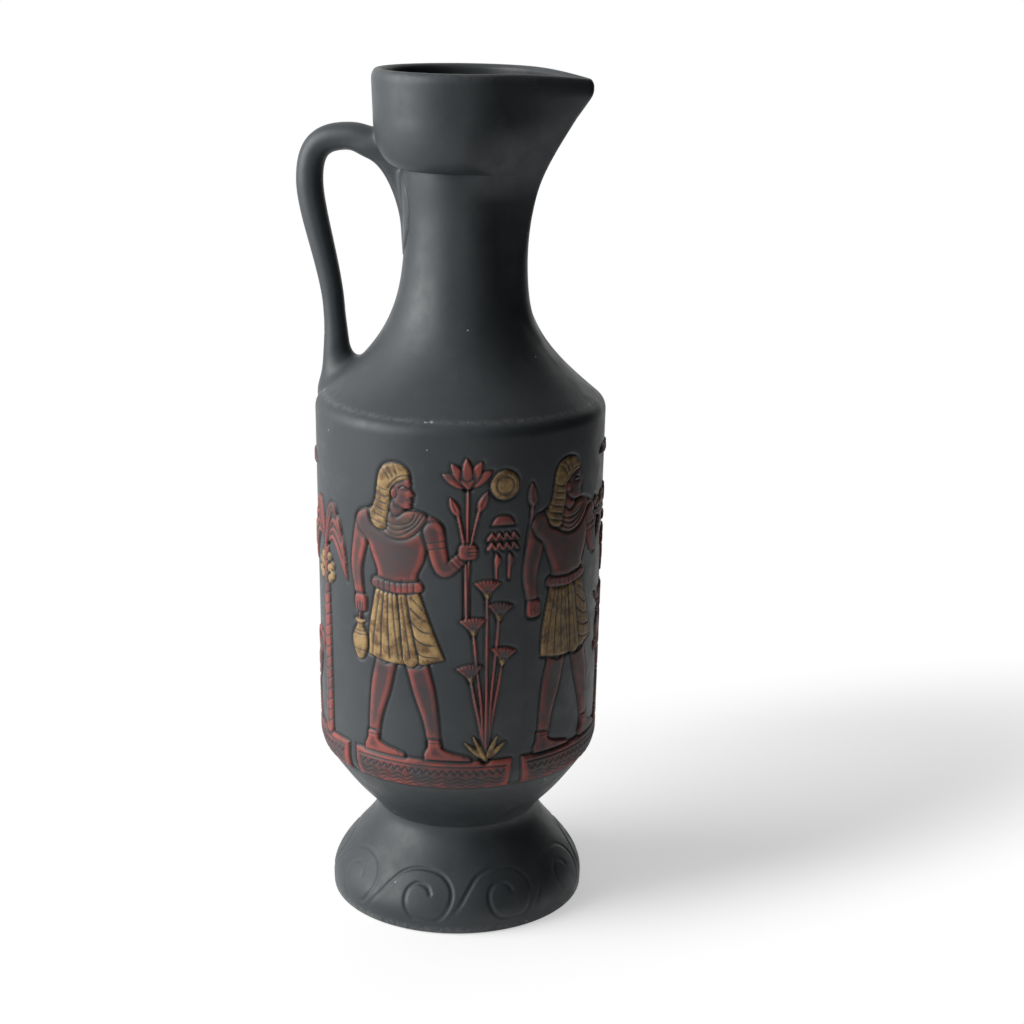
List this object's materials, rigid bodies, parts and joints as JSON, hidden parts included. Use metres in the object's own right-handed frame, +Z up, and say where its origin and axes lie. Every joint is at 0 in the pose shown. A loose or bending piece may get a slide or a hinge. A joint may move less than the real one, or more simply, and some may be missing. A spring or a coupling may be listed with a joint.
{
  "type": "jug",
  "caption": "Tall dark ceramic jug: spreading hollow foot, straight round body, narrow neck, cup collar with a pouring beak and a loop handle at the back.",
  "frame": {"origin": "middle of the flat underside of the foot, on the axis the jug is turned about", "axes": "+Z up along the axis of the turned body, +X towards the pouring beak, -X towards the handle, so the XZ plane is the plane of symmetry"},
  "size_m": [0.1319, 0.121, 0.35],
  "materials": {
    "clay_body": "near-black fired clay with a dull satin skin",
    "clay_relief_wall": "near-black fired clay, its wall moulded in low relief and rubbed with brick red and ochre",
    "joint_slip": "matt dark slip"
  },
  "bodies": {
    "root": {"foot": "clay_body", "foot_joint_slip": "joint_slip", "body": "clay_relief_wall", "shoulder_joint_slip": "joint_slip", "neck": "clay_body", "collar_joint_slip": "joint_slip", "collar": "clay_body", "handle": "clay_body", "handle_upper_joint_slip": "joint_slip", "handle_lower_joint_slip": "joint_slip"}
  },
  "joints": []
}
